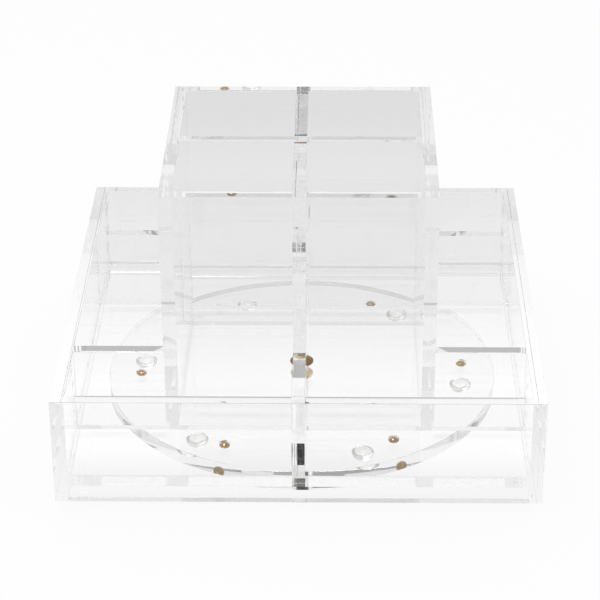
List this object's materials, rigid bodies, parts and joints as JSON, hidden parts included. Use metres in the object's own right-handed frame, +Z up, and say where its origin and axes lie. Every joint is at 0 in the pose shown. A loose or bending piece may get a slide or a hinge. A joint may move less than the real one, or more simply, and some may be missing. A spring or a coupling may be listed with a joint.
{
  "type": "rotating desk organizer",
  "caption": "Square desktop organizer of clear acrylic sheet: low trays round a tall divided tower, turning on a round base with brass balls and a brass pivot.",
  "frame": {"origin": "centre of the low square box at table height, under the feet", "axes": "+Z up, -Y the front, +X to the right seen from the front"},
  "size_m": [0.216, 0.216, 0.1336],
  "materials": {
    "clear_acrylic": "clear polished cast acrylic sheet",
    "pivot_brass": "polished brass",
    "ball_brass": "polished brass ball",
    "clear_bumper": "clear soft polyurethane"
  },
  "bodies": {
    "turntable": {"turntable_disc": "clear_acrylic", "pivot_post": "pivot_brass", "pivot_screw": "pivot_brass", "bumper_foot_1": "clear_bumper", "bumper_foot_2": "clear_bumper", "bumper_foot_3": "clear_bumper", "bumper_foot_4": "clear_bumper", "bumper_foot_5": "clear_bumper", "bumper_foot_6": "clear_bumper"},
    "organizer": {"base_plate": "clear_acrylic", "left_outer_wall": "clear_acrylic", "right_outer_wall": "clear_acrylic", "front_wall": "clear_acrylic", "back_wall": "clear_acrylic", "tower_left_wall": "clear_acrylic", "tower_right_wall": "clear_acrylic", "tower_front_panel": "clear_acrylic", "tower_back_panel": "clear_acrylic", "tower_cross_panel": "clear_acrylic", "tower_divider": "clear_acrylic", "front_divider": "clear_acrylic", "rear_divider": "clear_acrylic", "left_front_partition": "clear_acrylic", "left_rear_partition": "clear_acrylic", "right_front_partition": "clear_acrylic", "right_rear_partition": "clear_acrylic"},
    "ball_1": {"glide_ball_1": "ball_brass"},
    "ball_2": {"glide_ball_2": "ball_brass"},
    "ball_3": {"glide_ball_3": "ball_brass"},
    "ball_4": {"glide_ball_4": "ball_brass"},
    "ball_5": {"glide_ball_5": "ball_brass"},
    "ball_6": {"glide_ball_6": "ball_brass"}
  },
  "joints": [
    {"name": "organizer_turn", "type": "hinge", "parent": "turntable", "child": "organizer", "pos_m": [0, -0.0016, 0.0109], "axis": [0, 0, 1], "continuous": true},
    {"name": "ball_1_roll", "type": "hinge", "parent": "turntable", "child": "ball_1", "pos_m": [0.07703, 0.00352, 0.00837], "axis": [0.9978, 0.0663, 0], "continuous": true},
    {"name": "ball_2_roll", "type": "hinge", "parent": "turntable", "child": "ball_2", "pos_m": [0.03408, 0.06767, 0.00837], "axis": [0.4415, 0.8973, 0], "continuous": true},
    {"name": "ball_3_roll", "type": "hinge", "parent": "turntable", "child": "ball_3", "pos_m": [-0.04295, 0.06255, 0.00837], "axis": [-0.5563, 0.831, 0], "continuous": true},
    {"name": "ball_4_roll", "type": "hinge", "parent": "turntable", "child": "ball_4", "pos_m": [-0.07703, -0.00672, 0.00837], "axis": [-0.9978, -0.0663, 0], "continuous": true},
    {"name": "ball_5_roll", "type": "hinge", "parent": "turntable", "child": "ball_5", "pos_m": [-0.03408, -0.07087, 0.00837], "axis": [-0.4415, -0.8973, 0], "continuous": true},
    {"name": "ball_6_roll", "type": "hinge", "parent": "turntable", "child": "ball_6", "pos_m": [0.04295, -0.06575, 0.00837], "axis": [0.5563, -0.831, 0], "continuous": true}
  ],
  "couplings": [
    {"joint": "ball_1_roll", "follows": "organizer_turn", "ratio": -30.88},
    {"joint": "ball_2_roll", "follows": "organizer_turn", "ratio": -30.88},
    {"joint": "ball_3_roll", "follows": "organizer_turn", "ratio": -30.88},
    {"joint": "ball_4_roll", "follows": "organizer_turn", "ratio": -30.88},
    {"joint": "ball_5_roll", "follows": "organizer_turn", "ratio": -30.88},
    {"joint": "ball_6_roll", "follows": "organizer_turn", "ratio": -30.88}
  ]
}
